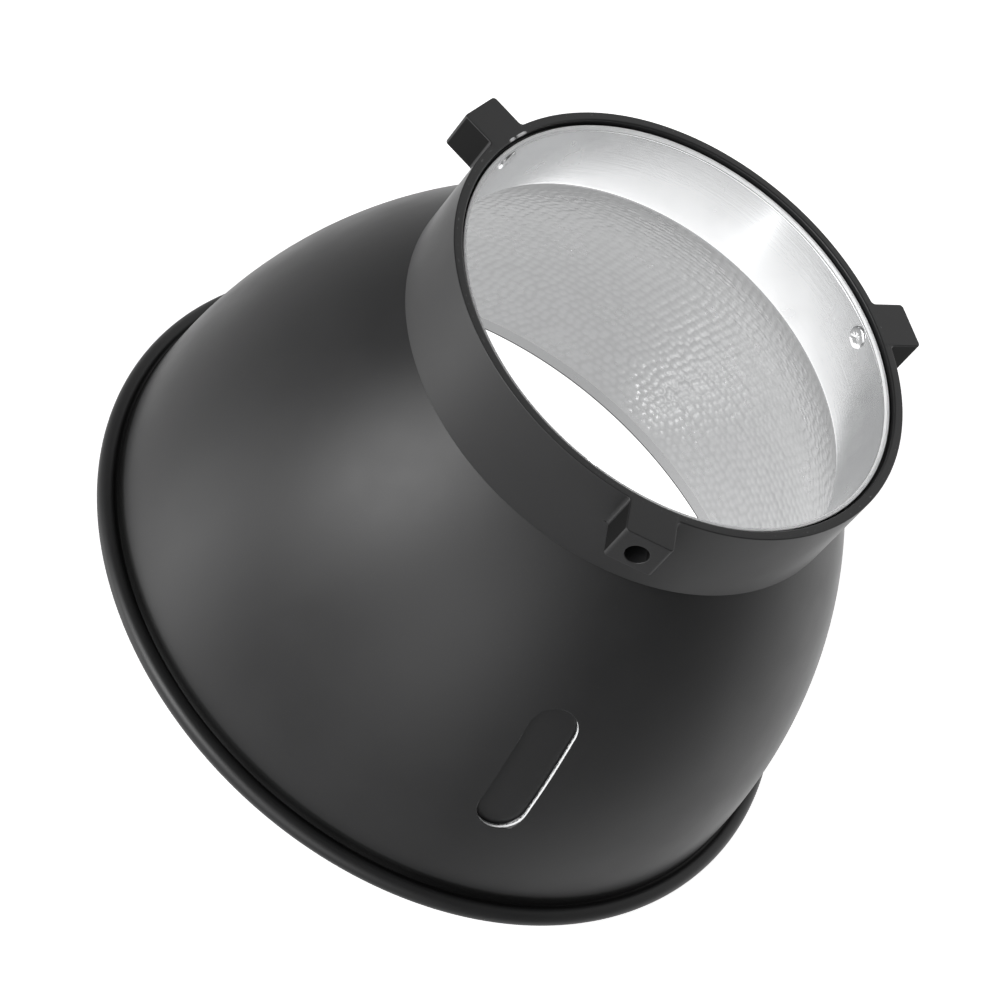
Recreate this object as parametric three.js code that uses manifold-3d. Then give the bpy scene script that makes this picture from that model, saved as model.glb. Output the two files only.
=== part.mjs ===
// Reflector for a studio flash head: a spun aluminium bowl with a rolled rim and a short neck,
// a cast three-lug bayonet collar riveted round the neck, and a sprung flap that closes the
// umbrella slot from inside.
// Millimetres. +Z runs along the axis from the mouth to the collar, the rolled rim stands on
// z = 0, and the umbrella slot is on the -Y side.

import * as THREE from 'three';
import { mergeVertices } from 'three/addons/utils/BufferGeometryUtils.js';
import Module from 'manifold-3d';

const wasm = await Module();
wasm.setup();

// ---- driving dimensions ----

const SHEET = 1;                 // thickness of the spun bowl
const FIT = 0.3;                 // gap that neighbouring pieces keep
const BIG_SIDES = 56;            // sides of the rounds about the main axis
const SMALL_SIDES = 12;          // sides of pins, holes and barrels
const ARC_STEPS = 7;             // flats along the wall's arc
const ROLL_STEPS = 6;            // flats along the rolled rim's section
const CUT_DEPTH = 12;            // depth of a cut that passes right through the sheet
const OVERSHOOT = 2;             // how far a drilled hole's cutter runs past the metal

const RIM_RADIUS = 105;          // outside of the rolled rim
const BEAD_RADIUS = 2.65;        // outside radius of the rolled rim's section
const BEAD_END = 485;            // degrees at which the roll stops, short of the wall

// The bowl's wall is one circular arc in section, about a centre beyond the main axis.
const ARC_CENTRE = new THREE.Vector2(-63.3, 1.6);
const ARC_OUTER = 163.5;
const ARC_INNER = ARC_OUTER - SHEET;
const WALL_START_Z = 5.4;        // where the arc takes over from the rolled rim

const NECK_INNER = 61.5;
const NECK_OUTER = NECK_INNER + SHEET;
const LIP_Z = 129.7;             // the neck's end, a little inside the collar's rear face

const COLLAR_OUTER = 66;
const COLLAR_FRONT_Z = 104.5;
const COLLAR_REAR_Z = 130.9;
const COLLAR_CHAMFER = 0.4;
const COLLAR_BEVEL = 1.65;       // the front edge's inner bevel, which clears the neck's root
const COLLAR_MOUTH_BEVEL = 0.9;  // slope from the bore out to the rear face

const LUG_COUNT = 3;
const LUG_AZIMUTH = -97.6;       // degrees, first lug; the slot is at -90
const LUG_WIDTH = 13.5;
const LUG_FACE = 75.9;           // main axis to the lug's outer face
const LUG_FRONT_Z = 119.7;
const LUG_FILLET = 1.2;
const LUG_CORNER = 1.0;

const RIVET_Z = 124.9;
const RIVET_WELL_RADIUS = 3.4;   // well in the lug, over the rivet's head
const RIVET_SEAT = 68;           // main axis to the well's floor
const RIVET_HEAD_RADIUS = 2.8;
const RIVET_HEAD_HEIGHT = 1.6;
const RIVET_SHANK_RADIUS = 1.8;
const RIVET_TAIL_RADIUS = 3.0;
const RIVET_TAIL_TOP = 61.0;     // main axis to the flat side of the formed tail
const RIVET_TAIL_HEIGHT = 0.5;

const SLOT_WIDTH = 13.3;
const SLOT_LENGTH = 40.3;
const SLOT_ANGLE = THREE.MathUtils.degToRad(18.1);   // the slot's middle, on the wall's arc

const FLAP_WIDTH = 17.8;
const FLAP_SHEET = 0.8;
const FLAP_OUTER = ARC_INNER - 0.6;
const FLAP_LOW_ANGLE = THREE.MathUtils.degToRad(9.6);
const FLAP_CORNER = 5;
const FLAP_NOTCH = 3.4;          // depth of the notch between the barrels
const FLAP_MARGIN = 0.05;        // extra angle of the shell that a plate is cut from

const HINGE_ANGLE = THREE.MathUtils.degToRad(28.3);
const HINGE_ARC = ARC_INNER - 3.6;                   // the hinge line's distance from the arc's centre
const PIN_RADIUS = 0.9;
const PIN_HEAD_RADIUS = 1.5;
const PIN_HEAD_LENGTH = 0.8;
const BARREL_RADIUS = 2.4;
const BARREL_INNER_X = 4.2;
const EAR_INNER_X = 9.3;
const EAR_THICKNESS = 1.2;
const EAR_RADIUS = 2.1;
const EAR_RISE = 8;              // from the pin's axis to the ear's top edge
const EAR_TAPER = 0.5;

const BRACKET_WIDTH = 25;
const BRACKET_ANGLE = THREE.MathUtils.degToRad(32.3);
const BRACKET_LENGTH = 9;
const BRACKET_SHEET = 0.9;

const SPRING_WIRE = 0.7;
const SPRING_RADIUS = 1.6;       // middle of the wire in the coil
const SPRING_TURNS = 6;
const SPRING_HALF_LENGTH = 3.15;
const SPRING_STEPS = 12;         // points in each turn
const SPRING_FLAP_LEG = 14;      // from the pin's axis to the leg's end under the flap
const SPRING_BRACKET_LEG = 10.5;

// ---- materials ----

function finish(name, colour, roughness, metalness) {
  return new THREE.MeshStandardMaterial({ name, color: colour, roughness, metalness });
}

const blackPaint = () => finish('black_paint', 0x26262a, 0.5, 0.1);
const castBlack = () => finish('cast_black', 0x2a2a2d, 0.45, 0.1);
const brightAluminium = () => finish('bright_aluminium', 0xd6d7d9, 0.3, 1.0);
const springSteel = () => finish('spring_steel', 0x9a9da0, 0.35, 1.0);

// ---- solids ----

function toSolid(geometry) {
  const bare = geometry.clone();
  bare.deleteAttribute('normal');
  bare.deleteAttribute('uv');
  const merged = mergeVertices(bare, 1e-4);
  return new wasm.Manifold(new wasm.Mesh({
    numProp: 3,
    vertProperties: new Float32Array(merged.attributes.position.array),
    triVerts: new Uint32Array(merged.index.array),
  }));
}

function toGeometry(solid) {
  const mesh = solid.getMesh();
  const geometry = new THREE.BufferGeometry();
  geometry.setAttribute('position', new THREE.BufferAttribute(mesh.vertProperties, 3));
  geometry.setIndex(new THREE.BufferAttribute(mesh.triVerts, 1));
  geometry.computeVertexNormals();
  return geometry;
}

// A closed profile of (radius, z) points, anticlockwise, turned about the main axis.
function turned(profile, sides) {
  const closed = [...profile, profile[0].clone()];
  return new THREE.LatheGeometry(closed, sides).rotateX(Math.PI / 2);
}

// A profile of (radius, x) points that starts and ends on the axis, turned about X.
function turnedPin(points, sides) {
  const profile = points.map(([r, x]) => new THREE.Vector2(r, x));
  return new THREE.LatheGeometry(profile, sides).rotateZ(-Math.PI / 2);
}

function tube(inner, outer, fromX, toX) {
  const ring = [[inner, fromX], [outer, fromX], [outer, toX], [inner, toX], [inner, fromX]];
  return turnedPin(ring, SMALL_SIDES);
}

function rod(radius, fromX, toX) {
  return turnedPin([[0, fromX], [radius, fromX], [radius, toX], [0, toX]], SMALL_SIDES);
}

// ---- the wall's arc ----

function onArc(radius, angle) {
  const offset = new THREE.Vector2(Math.cos(angle), Math.sin(angle));
  return offset.multiplyScalar(radius).add(ARC_CENTRE);
}

function arcAngleAtZ(radius, z) {
  return Math.asin((z - ARC_CENTRE.y) / radius);
}

function arcAngleAtR(radius, r) {
  return Math.acos((r - ARC_CENTRE.x) / radius);
}

function arcRun(radius, from, to, steps) {
  const run = [];
  for (let i = 0; i <= steps; i += 1) {
    run.push(onArc(radius, from + ((to - from) * i) / steps));
  }
  return run;
}

// The frame of a place behind the wall on the -Y side: X across, Y up the wall, Z outwards.
function wallFrame(radius, angle) {
  const spot = onArc(radius, angle);
  const up = new THREE.Vector3(0, Math.sin(angle), Math.cos(angle));
  const out = new THREE.Vector3(0, -Math.cos(angle), Math.sin(angle));
  const frame = new THREE.Matrix4().makeBasis(new THREE.Vector3(1, 0, 0), up, out);
  return frame.setPosition(0, -spot.x, spot.y);
}

// A shell that follows the wall's arc, between two distances from the arc's centre.
function arcShell(inner, outer, low, high) {
  const profile = [...arcRun(outer, low, high, ARC_STEPS), ...arcRun(inner, high, low, ARC_STEPS)];
  return toSolid(turned(profile, BIG_SIDES));
}

function prism(shape, depth, frame) {
  const geometry = new THREE.ExtrudeGeometry(shape, { depth, bevelEnabled: false, curveSegments: 6 });
  return toSolid(geometry.translate(0, 0, -depth / 2).applyMatrix4(frame));
}

// ---- the bowl ----

// A point of the rolled rim's section; 180 degrees is its innermost point.
function onRoll(radius, degrees) {
  const angle = THREE.MathUtils.degToRad(degrees);
  const r = RIM_RADIUS - BEAD_RADIUS + radius * Math.cos(angle);
  return new THREE.Vector2(r, BEAD_RADIUS + radius * Math.sin(angle));
}

function rollRun(radius, from, to) {
  return Array.from({ length: ROLL_STEPS + 1 }, (_, i) => {
    return onRoll(radius, from + ((to - from) * i) / ROLL_STEPS);
  });
}

function bowlProfile() {
  const outerStart = arcAngleAtZ(ARC_OUTER, WALL_START_Z);
  const innerStart = arcAngleAtZ(ARC_INNER, WALL_START_Z);
  return [
    ...rollRun(BEAD_RADIUS, 180, 450),
    onRoll(BEAD_RADIUS, BEAD_END),
    ...rollRun(BEAD_RADIUS - SHEET, BEAD_END, 180),
    ...arcRun(ARC_OUTER, outerStart, arcAngleAtR(ARC_OUTER, NECK_OUTER), ARC_STEPS),
    new THREE.Vector2(NECK_OUTER, LIP_Z),
    new THREE.Vector2(NECK_INNER, LIP_Z),
    ...arcRun(ARC_INNER, arcAngleAtR(ARC_INNER, NECK_INNER), innerStart, ARC_STEPS),
  ];
}

function slotShape() {
  const end = SLOT_WIDTH / 2;
  const half = SLOT_LENGTH / 2 - end;
  const shape = new THREE.Shape();
  shape.absarc(0, half, end, 0, Math.PI);
  shape.absarc(0, -half, end, Math.PI, 2 * Math.PI);
  shape.closePath();
  return shape;
}

function lugAzimuths() {
  return Array.from({ length: LUG_COUNT }, (_, i) => {
    return THREE.MathUtils.degToRad(LUG_AZIMUTH + (360 * i) / LUG_COUNT);
  });
}

// A rod or any other thing made along X, turned to stand radially at a lug.
function atLug(geometry, azimuth) {
  return geometry.translate(0, 0, RIVET_Z).rotateZ(azimuth);
}

function reflectorBowl() {
  let solid = toSolid(turned(bowlProfile(), BIG_SIDES));
  solid = solid.subtract(prism(slotShape(), CUT_DEPTH, wallFrame(ARC_INNER, SLOT_ANGLE)));
  for (const azimuth of lugAzimuths()) {
    const hole = rod(RIVET_SHANK_RADIUS + FIT, NECK_INNER - OVERSHOOT, NECK_OUTER + OVERSHOOT);
    solid = solid.subtract(toSolid(atLug(hole, azimuth)));
  }
  return toGeometry(solid);
}

// ---- the collar ----

function collarProfile() {
  const bore = NECK_OUTER + FIT;
  return [
    [COLLAR_OUTER - COLLAR_BEVEL, COLLAR_FRONT_Z],
    [COLLAR_OUTER, COLLAR_FRONT_Z],
    [COLLAR_OUTER, COLLAR_REAR_Z - COLLAR_CHAMFER],
    [COLLAR_OUTER - COLLAR_CHAMFER, COLLAR_REAR_Z],
    [bore + COLLAR_MOUTH_BEVEL, COLLAR_REAR_Z],
    [bore, COLLAR_REAR_Z - COLLAR_MOUTH_BEVEL],
    [bore, COLLAR_FRONT_Z + COLLAR_BEVEL],
  ].map(([r, z]) => new THREE.Vector2(r, z));
}

// A lug in plan, with fillets into the collar's wall and rounded outer corners.
function lugShape() {
  const half = LUG_WIDTH / 2;
  const root = COLLAR_OUTER - 1;
  const wall = Math.sqrt(COLLAR_OUTER ** 2 - (half + LUG_FILLET) ** 2);
  const shape = new THREE.Shape();
  shape.moveTo(root, -half - LUG_FILLET);
  shape.lineTo(wall, -half - LUG_FILLET);
  shape.absarc(wall + LUG_FILLET, -half - LUG_FILLET, LUG_FILLET, Math.PI, Math.PI / 2, true);
  shape.absarc(LUG_FACE - LUG_CORNER, -half + LUG_CORNER, LUG_CORNER, -Math.PI / 2, 0);
  shape.absarc(LUG_FACE - LUG_CORNER, half - LUG_CORNER, LUG_CORNER, 0, Math.PI / 2);
  shape.absarc(wall + LUG_FILLET, half + LUG_FILLET, LUG_FILLET, -Math.PI / 2, -Math.PI, true);
  shape.lineTo(root, half + LUG_FILLET);
  shape.closePath();
  return shape;
}

function lugBlock(azimuth) {
  const depth = COLLAR_REAR_Z - LUG_FRONT_Z;
  const middle = new THREE.Matrix4().makeTranslation(0, 0, (COLLAR_REAR_Z + LUG_FRONT_Z) / 2);
  return prism(lugShape(), depth, middle.premultiply(new THREE.Matrix4().makeRotationZ(azimuth)));
}

function mountCollar() {
  let solid = toSolid(turned(collarProfile(), BIG_SIDES));
  for (const azimuth of lugAzimuths()) {
    solid = solid.add(lugBlock(azimuth));
  }
  for (const azimuth of lugAzimuths()) {
    const hole = rod(RIVET_SHANK_RADIUS + FIT, NECK_INNER - OVERSHOOT, LUG_FACE + OVERSHOOT);
    const well = rod(RIVET_WELL_RADIUS, RIVET_SEAT, LUG_FACE + OVERSHOOT);
    solid = solid.subtract(toSolid(atLug(hole, azimuth)));
    solid = solid.subtract(toSolid(atLug(well, azimuth)));
  }
  return toGeometry(solid);
}

// A rivet: its tail, formed inside the neck, its shank, and its head in the lug's well.
function lugRivet(azimuth) {
  const head = RIVET_SEAT + FIT;
  const tail = RIVET_TAIL_TOP;
  const profile = [
    [0, tail - RIVET_TAIL_HEIGHT],
    [RIVET_TAIL_RADIUS * 0.6, tail - RIVET_TAIL_HEIGHT * 0.85],
    [RIVET_TAIL_RADIUS * 0.9, tail - RIVET_TAIL_HEIGHT * 0.4],
    [RIVET_TAIL_RADIUS, tail],
    [RIVET_SHANK_RADIUS, tail],
    [RIVET_SHANK_RADIUS, head],
    [RIVET_HEAD_RADIUS, head],
    [RIVET_HEAD_RADIUS, head + RIVET_HEAD_HEIGHT * 0.6],
    [RIVET_HEAD_RADIUS * 0.6, head + RIVET_HEAD_HEIGHT * 0.9],
    [0, head + RIVET_HEAD_HEIGHT],
  ];
  return atLug(turnedPin(profile, SMALL_SIDES), azimuth);
}

// ---- the umbrella slot's flap ----

// The flap's outline in its own plane, notched between its two barrels.
function flapShape(low, high) {
  const half = FLAP_WIDTH / 2;
  const notch = BARREL_INNER_X;
  const shape = new THREE.Shape();
  shape.moveTo(-half, high);
  shape.absarc(-half + FLAP_CORNER, low + FLAP_CORNER, FLAP_CORNER, Math.PI, 1.5 * Math.PI);
  shape.absarc(half - FLAP_CORNER, low + FLAP_CORNER, FLAP_CORNER, 1.5 * Math.PI, 2 * Math.PI);
  shape.lineTo(half, high);
  shape.lineTo(notch, high);
  shape.lineTo(notch, high - FLAP_NOTCH);
  shape.lineTo(-notch, high - FLAP_NOTCH);
  shape.lineTo(-notch, high);
  shape.closePath();
  return shape;
}

function umbrellaFlap() {
  const middle = (FLAP_LOW_ANGLE + HINGE_ANGLE) / 2;
  const half = HINGE_ARC * Math.sin((HINGE_ANGLE - FLAP_LOW_ANGLE) / 2);
  const [low, high] = [FLAP_LOW_ANGLE - FLAP_MARGIN, HINGE_ANGLE + FLAP_MARGIN];
  const shell = arcShell(FLAP_OUTER - FLAP_SHEET, FLAP_OUTER, low, high);
  let solid = shell.intersect(prism(flapShape(-half, half), CUT_DEPTH, wallFrame(FLAP_OUTER, middle)));
  const hinge = wallFrame(HINGE_ARC, HINGE_ANGLE);
  const end = FLAP_WIDTH / 2;
  for (const [from, to] of [[-end, -BARREL_INNER_X], [BARREL_INNER_X, end]]) {
    const barrel = tube(PIN_RADIUS + FIT, BARREL_RADIUS, from, to).applyMatrix4(hinge);
    const bore = rod(PIN_RADIUS + FIT, from - 1, to + 1).applyMatrix4(hinge);
    solid = solid.add(toSolid(barrel)).subtract(toSolid(bore));
  }
  return toGeometry(solid);
}

// An ear in side view, round about the pin and running up to the bracket's plate.
function earShape() {
  const shape = new THREE.Shape();
  shape.absarc(0, 0, EAR_RADIUS, 0, Math.PI, true);
  shape.lineTo(-EAR_RADIUS + EAR_TAPER, EAR_RISE);
  shape.lineTo(EAR_RADIUS - EAR_TAPER, EAR_RISE);
  shape.closePath();
  return shape;
}

function flapBracket() {
  const outline = new THREE.Shape();
  outline.moveTo(-BRACKET_WIDTH / 2, -BRACKET_LENGTH / 2);
  outline.lineTo(BRACKET_WIDTH / 2, -BRACKET_LENGTH / 2);
  outline.lineTo(BRACKET_WIDTH / 2, BRACKET_LENGTH / 2);
  outline.lineTo(-BRACKET_WIDTH / 2, BRACKET_LENGTH / 2);
  outline.closePath();
  const [low, high] = [HINGE_ANGLE - FLAP_MARGIN, BRACKET_ANGLE + FLAP_MARGIN];
  const shell = arcShell(FLAP_OUTER - BRACKET_SHEET, FLAP_OUTER, low, high);
  let solid = shell.intersect(prism(outline, CUT_DEPTH, wallFrame(FLAP_OUTER, BRACKET_ANGLE)));
  const hinge = wallFrame(HINGE_ARC, HINGE_ANGLE);
  // The ear's outline is drawn with X outwards from the pin and Y up the wall.
  const sideways = new THREE.Matrix4().makeBasis(
    new THREE.Vector3(0, 0, 1), new THREE.Vector3(0, 1, 0), new THREE.Vector3(-1, 0, 0),
  );
  for (const side of [-1, 1]) {
    const frame = sideways.clone().setPosition(side * (EAR_INNER_X + EAR_THICKNESS / 2), 0, 0);
    solid = solid.add(prism(earShape(), EAR_THICKNESS, frame.premultiply(hinge)));
  }
  const bore = rod(PIN_RADIUS + FIT, -BRACKET_WIDTH / 2, BRACKET_WIDTH / 2).applyMatrix4(hinge);
  return toGeometry(solid.subtract(toSolid(bore)));
}

function flapPin() {
  const neck = EAR_INNER_X + EAR_THICKNESS + FIT;
  const end = neck + PIN_HEAD_LENGTH;
  const profile = [
    [0, -end],
    [PIN_HEAD_RADIUS, -end],
    [PIN_HEAD_RADIUS, -neck],
    [PIN_RADIUS, -neck],
    [PIN_RADIUS, neck],
    [PIN_HEAD_RADIUS, neck],
    [PIN_HEAD_RADIUS, end],
    [0, end],
  ];
  return turnedPin(profile, SMALL_SIDES).applyMatrix4(wallFrame(HINGE_ARC, HINGE_ANGLE));
}

// The spring's wire: a leg under the flap, the coil round the pin, a leg under the bracket.
function springPath() {
  const steps = SPRING_TURNS * SPRING_STEPS;
  const [start, end] = [-SPRING_HALF_LENGTH, SPRING_HALF_LENGTH];
  const points = [
    new THREE.Vector3(start, -SPRING_FLAP_LEG, SPRING_RADIUS - SPRING_WIRE),
    new THREE.Vector3(start, -SPRING_FLAP_LEG / 2, SPRING_RADIUS - SPRING_WIRE / 2),
  ];
  for (let i = 0; i <= steps; i += 1) {
    const angle = (2 * Math.PI * i) / SPRING_STEPS;
    const x = start + ((end - start) * i) / steps;
    points.push(new THREE.Vector3(x, SPRING_RADIUS * Math.sin(angle), SPRING_RADIUS * Math.cos(angle)));
  }
  points.push(new THREE.Vector3(end, SPRING_BRACKET_LEG / 2, SPRING_RADIUS - SPRING_WIRE / 2));
  points.push(new THREE.Vector3(end, SPRING_BRACKET_LEG, SPRING_RADIUS - SPRING_WIRE));
  return new THREE.CatmullRomCurve3(points);
}

function flapSpring() {
  const section = new THREE.Shape();
  section.absarc(0, 0, SPRING_WIRE / 2, 0, 2 * Math.PI);
  const path = springPath();
  const geometry = new THREE.ExtrudeGeometry(section, {
    steps: path.points.length,
    curveSegments: 3,
    extrudePath: path,
    bevelEnabled: false,
  });
  const solid = toSolid(geometry.applyMatrix4(wallFrame(HINGE_ARC, HINGE_ANGLE)));
  return toGeometry(solid);
}

// ---- the assembly ----

const reflector = new THREE.Group();

function addPiece(name, geometry, material) {
  const mesh = new THREE.Mesh(geometry, material);
  mesh.name = name;
  reflector.add(mesh);
}

addPiece('reflector_bowl', reflectorBowl(), blackPaint());
addPiece('mount_collar', mountCollar(), castBlack());
lugAzimuths().forEach((azimuth, i) => {
  addPiece(`lug_rivet_${i + 1}`, lugRivet(azimuth), brightAluminium());
});
addPiece('umbrella_flap', umbrellaFlap(), blackPaint());
addPiece('flap_bracket', flapBracket(), springSteel());
addPiece('flap_pin', flapPin(), springSteel());
addPiece('flap_spring', flapSpring(), springSteel());

export default reflector;
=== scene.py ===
"""A studio flash reflector: spun bowl, rolled rim, pebbled lining, bayonet collar and slot flap.

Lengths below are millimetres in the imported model's frame; meshes are made in metres.
+Z runs from the mouth to the collar, and the umbrella slot is on the -Y side.
"""

import math

import bpy
import numpy as np
from mathutils import Matrix, Quaternion, Vector


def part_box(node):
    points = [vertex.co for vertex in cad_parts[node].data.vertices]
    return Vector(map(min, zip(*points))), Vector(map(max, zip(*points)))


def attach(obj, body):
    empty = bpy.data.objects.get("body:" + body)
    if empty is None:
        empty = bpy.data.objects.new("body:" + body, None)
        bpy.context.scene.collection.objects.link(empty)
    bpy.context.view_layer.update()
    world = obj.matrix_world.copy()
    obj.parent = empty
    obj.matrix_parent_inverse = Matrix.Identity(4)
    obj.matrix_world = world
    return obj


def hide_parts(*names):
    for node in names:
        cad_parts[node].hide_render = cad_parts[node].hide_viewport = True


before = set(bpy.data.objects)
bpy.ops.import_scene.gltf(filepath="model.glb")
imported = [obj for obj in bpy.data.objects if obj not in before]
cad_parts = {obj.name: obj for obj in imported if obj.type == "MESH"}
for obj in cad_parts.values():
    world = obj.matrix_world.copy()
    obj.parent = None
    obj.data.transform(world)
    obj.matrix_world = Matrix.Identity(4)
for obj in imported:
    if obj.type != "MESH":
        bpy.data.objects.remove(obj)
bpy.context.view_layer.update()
MM = 0.001


def cad_box(node):
    """A CAD node's lowest and highest corners, in millimetres."""
    low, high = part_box(node)
    return low / MM, high / MM


# ---- sizes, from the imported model's nodes ----

BOWL_HIGH = cad_box("reflector_bowl")[1]
COLLAR_LOW, COLLAR_HIGH = cad_box("mount_collar")
RIM_R = BOWL_HIGH.x                 # outside of the rolled rim
LIP_Z = BOWL_HIGH.z                 # end of the neck
REAR_Z = COLLAR_HIGH.z              # the collar's rear face
COLLAR_Z = COLLAR_LOW.z             # the collar's front edge

SHEET = 1.0                         # spun sheet
PAINT = 0.12                        # paint film, drawn a little thick
BEAD_R = 2.65                       # rolled rim's section
BEAD_END = 480                      # degrees where the roll stops, short of the wall
ARC_R0, ARC_Z0 = -63.3, 1.6         # centre of the wall's arc
ARC_OUT = 163.5
ARC_IN = ARC_OUT - SHEET
NECK_IN = 61.5
NECK_OUT = NECK_IN + SHEET
COLLAR_R = 66.0
MOUTH_R = 63.4                      # the collar's mouth, a step wider than its bore
MOUTH_DEPTH = 2.2
MOUTH_ROUND = 0.5
REAR_ROUND = 0.3                    # rounding of the collar's outer rear edge
RUBBED_HIGHLIGHT_R = 65.0                     # where the rear face's paint is rubbed and a highlight line is painted
LUG_AZIMUTHS = [-97.6 + 120 * i for i in range(3)]
LUG_FRONT_Z = 119.7
LUG_FACE = 75.9
LUG_HALF = 6.75
LUG_FILLET = 1.2
LUG_CORNER = 1.1
LUG_SIDE_LIMIT = 0.98               # a face of a lug that looks sideways more than this is its side
RIVET_Z = 124.9
RIVET_HOLE_R = 2.1
RIVET_SHANK_R = 1.8
RIVET_SIDES = 36
WELL_R = 3.1
WELL_Z = RIVET_Z - 0.3
WELL_FLOOR = 68.0
WELL_EDGE = 0.3                     # break of the well's edge
WELL_SIDES = 48
SLOT_ANGLE = math.radians(18.05)
SLOT_HALF_WIDTH = 6.7
SLOT_ASIDE = 0.1                    # the slot's middle, a little to +X of the hinge's
SLOT_HALF_LENGTH = 20.15
CUT_FACE_LIMIT = 0.8                # a face in the slot that leans further than this is sheet, not cut
SLOT_LEAN = (0.35, -0.2)            # the cut's slant across and along, for each unit of depth
HINGE_ANGLE = math.radians(28.3)
HINGE_ARC = ARC_IN - 3.6
FLAP_LOW_ANGLE = math.radians(9.6)
FLAP_HALF_WIDTH = 8.9
FLAP_OUT = ARC_IN - 0.6
FLAP_SHEET = 0.8
FLAP_CORNER = 5.0
BARREL_X = 6.55                     # middle of each of the flap's rolled tongues, along the pin
BARREL_HALF = 2.35
BARREL_R = 2.4
BARREL_BORE_R = 1.15
TONGUE_LEAN = math.radians(4.2)     # the tongues follow the wall's curve across the flap
EAR_X = 9.9                         # middle of each of the bracket's ears, along the pin
EAR_R = 2.1
EAR_SHEET = 1.2
EAR_BORE_R = 1.1
PLATE_SHEET = 0.9                   # the bracket's plate
PLATE_HALF_WIDTH = 12.5
PLATE_ANGLES = math.radians(30.75), math.radians(33.9)
SHEET_FOOT_Z = 5.6                  # where the sheet, its paint and its lining start up the wall
PAINT_FOOT_Z = 5.5
LINING_FOOT_Z = 5.9
SIDES = 288                         # sides of the big rounds

PEBBLE_PITCH = 2.85                 # along a row
PEBBLE_ROW = 2.5                    # from row to row
PEBBLE_SPREAD = 0.78                # how far a pebble's dome reaches before its neighbours take over
PEBBLE_RISE = 0.17                  # with the spread, sets how steep the domes are
PEBBLE_LOW = -0.09                  # a deep crease and a dome's shoulder, from the lining's middle height
PEBBLE_HIGH = 0.04
LINING_RISE = 0.28                  # the lining's middle height above the sheet
PEBBLE_JITTER = 0.17
PEBBLE_CALM = 0.55                  # how much flatter the pebbles are by the neck than by the mouth
DRIFTS = 6                          # slow waves that bend the rows
DRIFT_SIZE = 0.4


# ---- mesh building ----

def new_object(name, vertices, faces):
    """A mesh object from vertices in millimetres and a list of faces."""
    mesh = bpy.data.meshes.new(name)
    mesh.from_pydata((np.asarray(vertices, float) * MM).tolist(), [], faces)
    mesh.validate()
    mesh.update()
    obj = bpy.data.objects.new(name, mesh)
    bpy.context.scene.collection.objects.link(obj)
    return obj


def bake_modifiers(obj):
    """Puts the result of an object's modifiers into its mesh."""
    graph = bpy.context.evaluated_depsgraph_get()
    graph.update()
    mesh = bpy.data.meshes.new_from_object(obj.evaluated_get(graph))
    obj.modifiers.clear()
    obj.data = mesh
    return obj


def combine(obj, other, operation):
    """Cuts or joins another closed object, which is then thrown away."""
    modifier = obj.modifiers.new("combine", "BOOLEAN")
    modifier.operation = operation
    modifier.solver = "MANIFOLD"
    modifier.object = other
    bake_modifiers(obj)
    bpy.data.objects.remove(other)
    return obj


def round_edges(obj, width, segments=2, angle=35):
    """Rounds an object's sharp edges."""
    modifier = obj.modifiers.new("round", "BEVEL")
    modifier.width = width * MM
    modifier.segments = segments
    modifier.limit_method = "ANGLE"
    modifier.angle_limit = math.radians(angle)
    return bake_modifiers(obj)


def shade(obj, angle=40, weighted=True):
    """Smooth shading that stays flat on flat faces and sharp at real edges."""
    for polygon in obj.data.polygons:
        polygon.use_smooth = True
    obj.data.set_sharp_from_angle(angle=math.radians(angle))
    if weighted:
        modifier = obj.modifiers.new("weighted", "WEIGHTED_NORMAL")
        modifier.keep_sharp = True
        modifier.weight = 80
        bake_modifiers(obj)
    return obj


def grid_faces(rows, columns, wrap_rows=False, wrap_columns=False):
    """Quads between neighbouring rows and columns of a vertex grid."""
    faces = []
    for i in range(rows if wrap_rows else rows - 1):
        a, b = i * columns, ((i + 1) % rows) * columns
        for j in range(columns if wrap_columns else columns - 1):
            k = (j + 1) % columns
            faces.append((a + j, a + k, b + k, b + j))
    return faces


def revolve(name, profile, sides=SIDES):
    """A closed solid from an anticlockwise loop of (radius, z) points."""
    turn = np.arange(sides) * (2 * math.pi / sides)
    loop = np.asarray(profile, float)
    ring = np.stack([np.cos(turn), np.sin(turn)], 1)
    vertices = np.zeros((len(loop), sides, 3))
    vertices[:, :, :2] = loop[:, None, :1] * ring[None]
    vertices[:, :, 2] = loop[:, None, 1]
    return new_object(name, vertices.reshape(-1, 3), grid_faces(len(loop), sides, True, True))


def turned_pin(name, profile, matrix, sides=32):
    """A solid of revolution about X, from (x, radius) points that start and end on the axis."""
    turn = np.arange(sides) * (2 * math.pi / sides)
    points = [(profile[0][0], 0, 0)]
    for x, r in profile[1:-1]:
        points += [(x, r * math.cos(a), r * math.sin(a)) for a in turn]
    points.append((profile[-1][0], 0, 0))
    rings = len(profile) - 2
    faces = [(1 + (j + 1) % sides, 1 + j, 0) for j in range(sides)]
    faces += [tuple(1 + v for v in face) for face in grid_faces(rings, sides, False, True)]
    last = 1 + (rings - 1) * sides
    faces += [(last + j, last + (j + 1) % sides, len(points) - 1) for j in range(sides)]
    obj = new_object(name, points, faces)
    return moved(obj, matrix)


def moved(obj, matrix):
    """Moves an object's vertices by a matrix whose places are in millimetres."""
    scaled = matrix.copy()
    scaled.translation = matrix.translation * MM
    obj.data.transform(scaled)
    obj.data.update()
    return obj


def prism(name, outline, depth, matrix):
    """A flat outline, anticlockwise, given a thickness along Z about its own plane."""
    n = len(outline)
    low = [(x, y, -depth / 2) for x, y in outline]
    high = [(x, y, depth / 2) for x, y in outline]
    sides = [(i, (i + 1) % n, n + (i + 1) % n, n + i) for i in range(n)]
    faces = [tuple(reversed(range(n))), tuple(range(n, 2 * n)), *sides]
    return moved(new_object(name, low + high, faces), matrix)


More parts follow.
